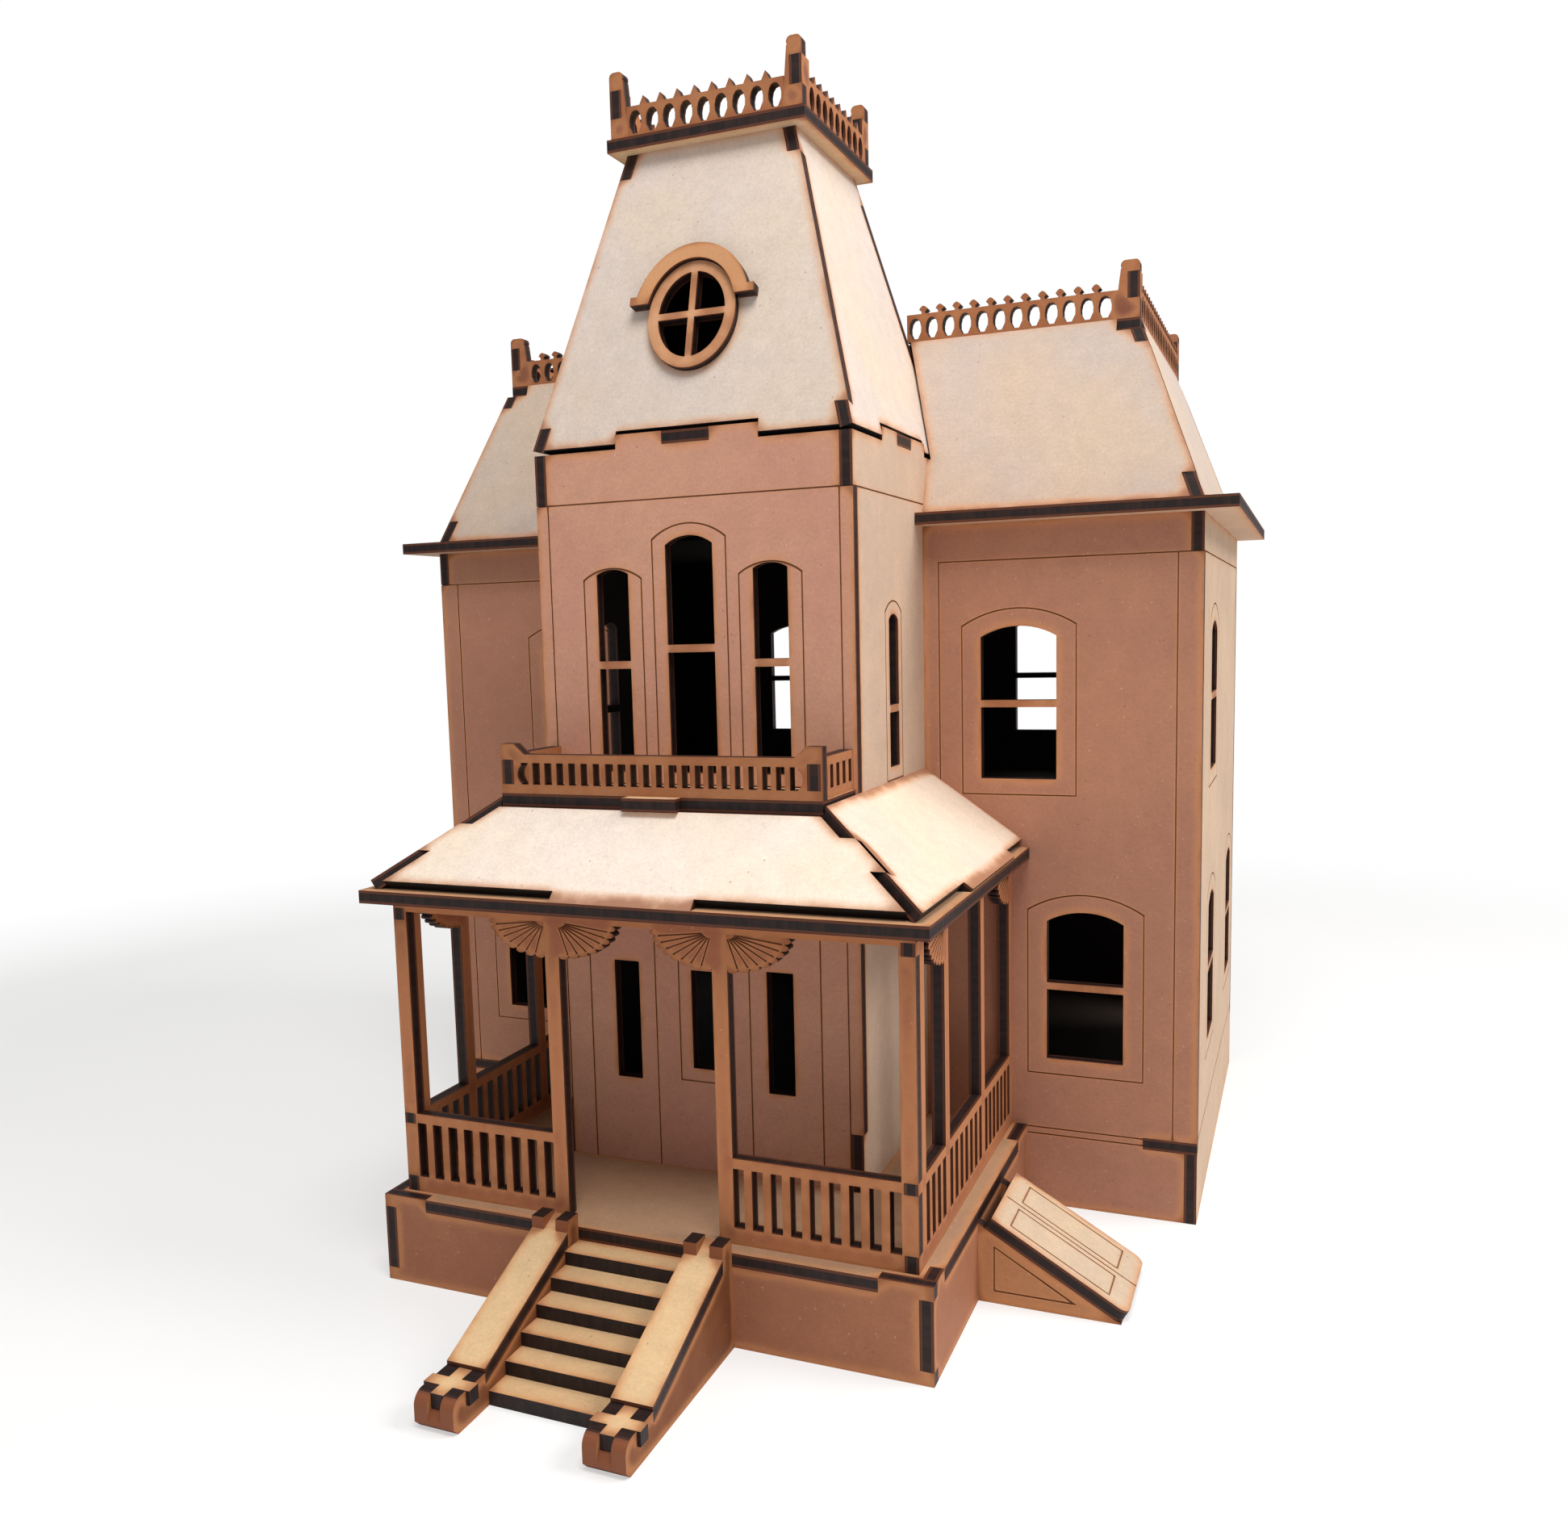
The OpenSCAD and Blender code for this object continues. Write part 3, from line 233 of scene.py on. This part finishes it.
# ---------- a board for every node ----------
# node name starts: two face colours, how browned the face is, and where painted shade darkens it. The face
# colours are one board's tone with painted light and shade in them.
BOARD_TONES_AND_PAINTED_LIGHT = (
    # painted shade: the front walls are painted darker than the side walls, and the back shares their
    # colour
    (("main_front", "main_back"), "#a6745e", "#ae7b62", 0.0, "room"),
    # painted light: the main side walls are painted paler, as lit from the right, on both sides of the
    # house
    (("main_side",), "#bfa48c", "#c9ad92", 0.0, "room"),
    # painted light: the tower front is painted paler than the main front, as the front walls lighten
    # towards the top
    (("tower_front",), "#c38d78", "#c9957c", 0.0, "room"),
    # painted light: the tower's side walls are painted paler, as lit from the right
    (("tower_left", "tower_right"), "#bea591", "#c7ab94", 0.0, "room"),
    (("tower_back", "tower_ceiling", "ground_floor", "upper_floor"), "#bd9377", "#c79c7c", 0.0, "room"),
    (("eaves_sheet",), "#bd9f86", "#c6a68b", 0.0, "room"),
    # painted light: the roof slopes are painted paler, as lit from above, with the porch roof's front
    # slope palest
    (("tower_roof",), "#cfc1b9", "#d4c2b0", 0.0, "back"),
    (("roof",), "#bfb0a7", "#c8b3a0", 0.0, "back"),
    (("porch_roof_front",), "#ecddd0", "#efdcc8", 0.0, "back"),
    (("porch_roof",), "#dccabb", "#e0cdb8", 0.0, "back"),
    (("tower_cap", "balcony_floor"), "#cfb294", "#d8b890", 0.0, None),
    # painted shade: the plinth is painted darkest, as the front walls darken towards the bottom
    (("plinth",), "#986247", "#a0694c", 0.0, None),
    (("porch_deck",), "#a58268", "#ab886a", 0.0, None),
    (("porch_eaves",), "#b0886a", "#b98f6d", 0.0, None),
    # painted shade: the porch frame, cresting and rails are painted darker, as in shade; their browning is
    # scorch
    (("porch_frame",), "#94583f", "#a26244", 0.15, None),
    (("cresting", "tower_rail", "balcony_rail"), "#6f3f31", "#7d4936", 0.2, None),
    (("oval_frame",), "#c79c7c", "#cca283", 0.15, None),
    (("oval_hood",), "#b98963", "#c09069", 0.2, None),
    (("stair_side",), "#623216", "#6e3b1e", 0.15, None),
    (("stair_treads",), "#cba67c", "#d4b084", 0.0, None),
    (("stair_rails", "newel"), "#d4b68e", "#dbba8e", 0.0, None),
    (("hatch_cheeks",), "#a9744e", "#b17c56", 0.1, None),
    (("hatch_door",), "#c6b09a", "#ccb497", 0.0, None),
)


def style_of(name):
    return next(style for style in BOARD_TONES_AND_PAINTED_LIGHT if name.startswith(style[0]))


for number, (name, node) in enumerate(sorted(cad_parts.items())):
    starts, face, warm, scorch, painted_shade = style_of(name)
    layered = name.startswith(("stair_side", "stair_treads", "newel"))
    material = fibreboard("board_" + name, node, number + 1, srgb(face), srgb(warm), scorch, layered,
                          painted_shade, name.startswith("stair_side"))
    node.data.materials.clear()
    node.data.materials.append(material)


# ---------- studio ----------
def studio_white():
    """A white floor that takes soft shadows and fades into the white backdrop away from the object."""
    material = bpy.data.materials.new("studio_white")
    t = Tree(material)
    place = t.node("ShaderNodeNewGeometry").outputs["Position"]
    away = t.node("ShaderNodeVectorMath", {0: place}, operation="LENGTH").outputs["Value"]
    colour = (0.93, 0.93, 0.93, 1)
    board = t.node("ShaderNodeBsdfPrincipled", {"Base Color": colour, "Roughness": 0.9})
    lit = t.node("ShaderNodeEmission", {"Color": (1, 1, 1, 1), "Strength": 1.0})
    seen = t.node("ShaderNodeLightPath").outputs["Is Camera Ray"]
    fade = t.math("MULTIPLY", seen, t.math("MAXIMUM", t.ramp(away, 0.22, 0.6), 0.5))
    mixed = t.node("ShaderNodeMixShader", {0: fade, 1: board.outputs[0], 2: lit.outputs[0]})
    output = t.node("ShaderNodeOutputMaterial")
    t.links.new(mixed.outputs[0], output.inputs["Surface"])
    return material


def add_floor(size=8.0):
    mesh = bpy.data.meshes.new("studio_floor")
    half = size / 2
    corners = [(-half, -half, 0), (half, -half, 0), (half, half, 0), (-half, half, 0)]
    mesh.from_pydata(corners, [], [(0, 1, 2, 3)])
    floor = bpy.data.objects.new("studio_floor", mesh)
    bpy.context.scene.collection.objects.link(floor)
    mesh.materials.append(studio_white())


def add_light(name, place, target, size, power, colour):
    data = bpy.data.lights.new(name, "AREA")
    data.shape = "DISK"
    data.size = size
    data.energy = power
    data.color = colour
    light = bpy.data.objects.new(name, data)
    light.location = place
    light.rotation_euler = (Vector(target) - Vector(place)).to_track_quat("-Z", "Y").to_euler()
    bpy.context.scene.collection.objects.link(light)


def add_world(ambient, backdrop=1.0):
    """A white backdrop, and a dimmer white sky that lights the object."""
    world = bpy.data.worlds.new("studio_world")
    bpy.context.scene.world = world
    world.use_nodes = True
    nodes, links = world.node_tree.nodes, world.node_tree.links
    background = nodes["Background"]
    seen = nodes.new("ShaderNodeLightPath").outputs["Is Camera Ray"]
    strength = nodes.new("ShaderNodeMapRange")
    strength.inputs["To Min"].default_value = ambient
    strength.inputs["To Max"].default_value = backdrop
    links.new(seen, strength.inputs["Value"])
    links.new(strength.outputs["Result"], background.inputs["Strength"])
    background.inputs["Color"].default_value = (1, 1, 1, 1)


add_floor()
add_world(0.42)
centre = (0, 0, 0.13)
add_light("top_light", (0.15, -0.27, 0.66), (0, -0.02, 0.1), 0.30, 2.6, (1.0, 0.98, 0.95))
add_light("window_light", (0.75, 0.12, 0.78), centre, 0.45, 6.2, (1.0, 0.985, 0.96))


# ---------- camera ----------
# Place, turn, tilt and roll of the photograph's viewpoint, and where its optical axis meets the frame.
CAMERA_AT = Vector((133.8, -338.3, 150.8)) * MM
TURN, TILT, ROLL = 0.4077, 0.1153, -0.0271
FOCAL = 0.8550          # focal length as a share of the frame's width
SHIFT = (0.0273, 0.0113)


def add_camera():
    level = Vector((-math.sin(TURN), math.cos(TURN), 0))
    right = Vector((math.cos(TURN), math.sin(TURN), 0))
    up = Vector((0, 0, 1))
    look = level * math.cos(TILT) - up * math.sin(TILT)
    above = up * math.cos(TILT) + level * math.sin(TILT)
    x_axis = right * math.cos(ROLL) + above * math.sin(ROLL)
    y_axis = above * math.cos(ROLL) - right * math.sin(ROLL)
    data = bpy.data.cameras.new("photo_camera")
    data.sensor_width = 36
    data.lens = FOCAL * data.sensor_width
    data.shift_x, data.shift_y = SHIFT
    data.clip_start = 0.01
    camera = bpy.data.objects.new("photo_camera", data)
    turn = Matrix((x_axis, y_axis, -look)).transposed().to_4x4()
    camera.matrix_world = Matrix.Translation(CAMERA_AT) @ turn
    bpy.context.scene.collection.objects.link(camera)
    bpy.context.scene.camera = camera


add_camera()
bpy.context.scene.view_settings.view_transform = "Standard"
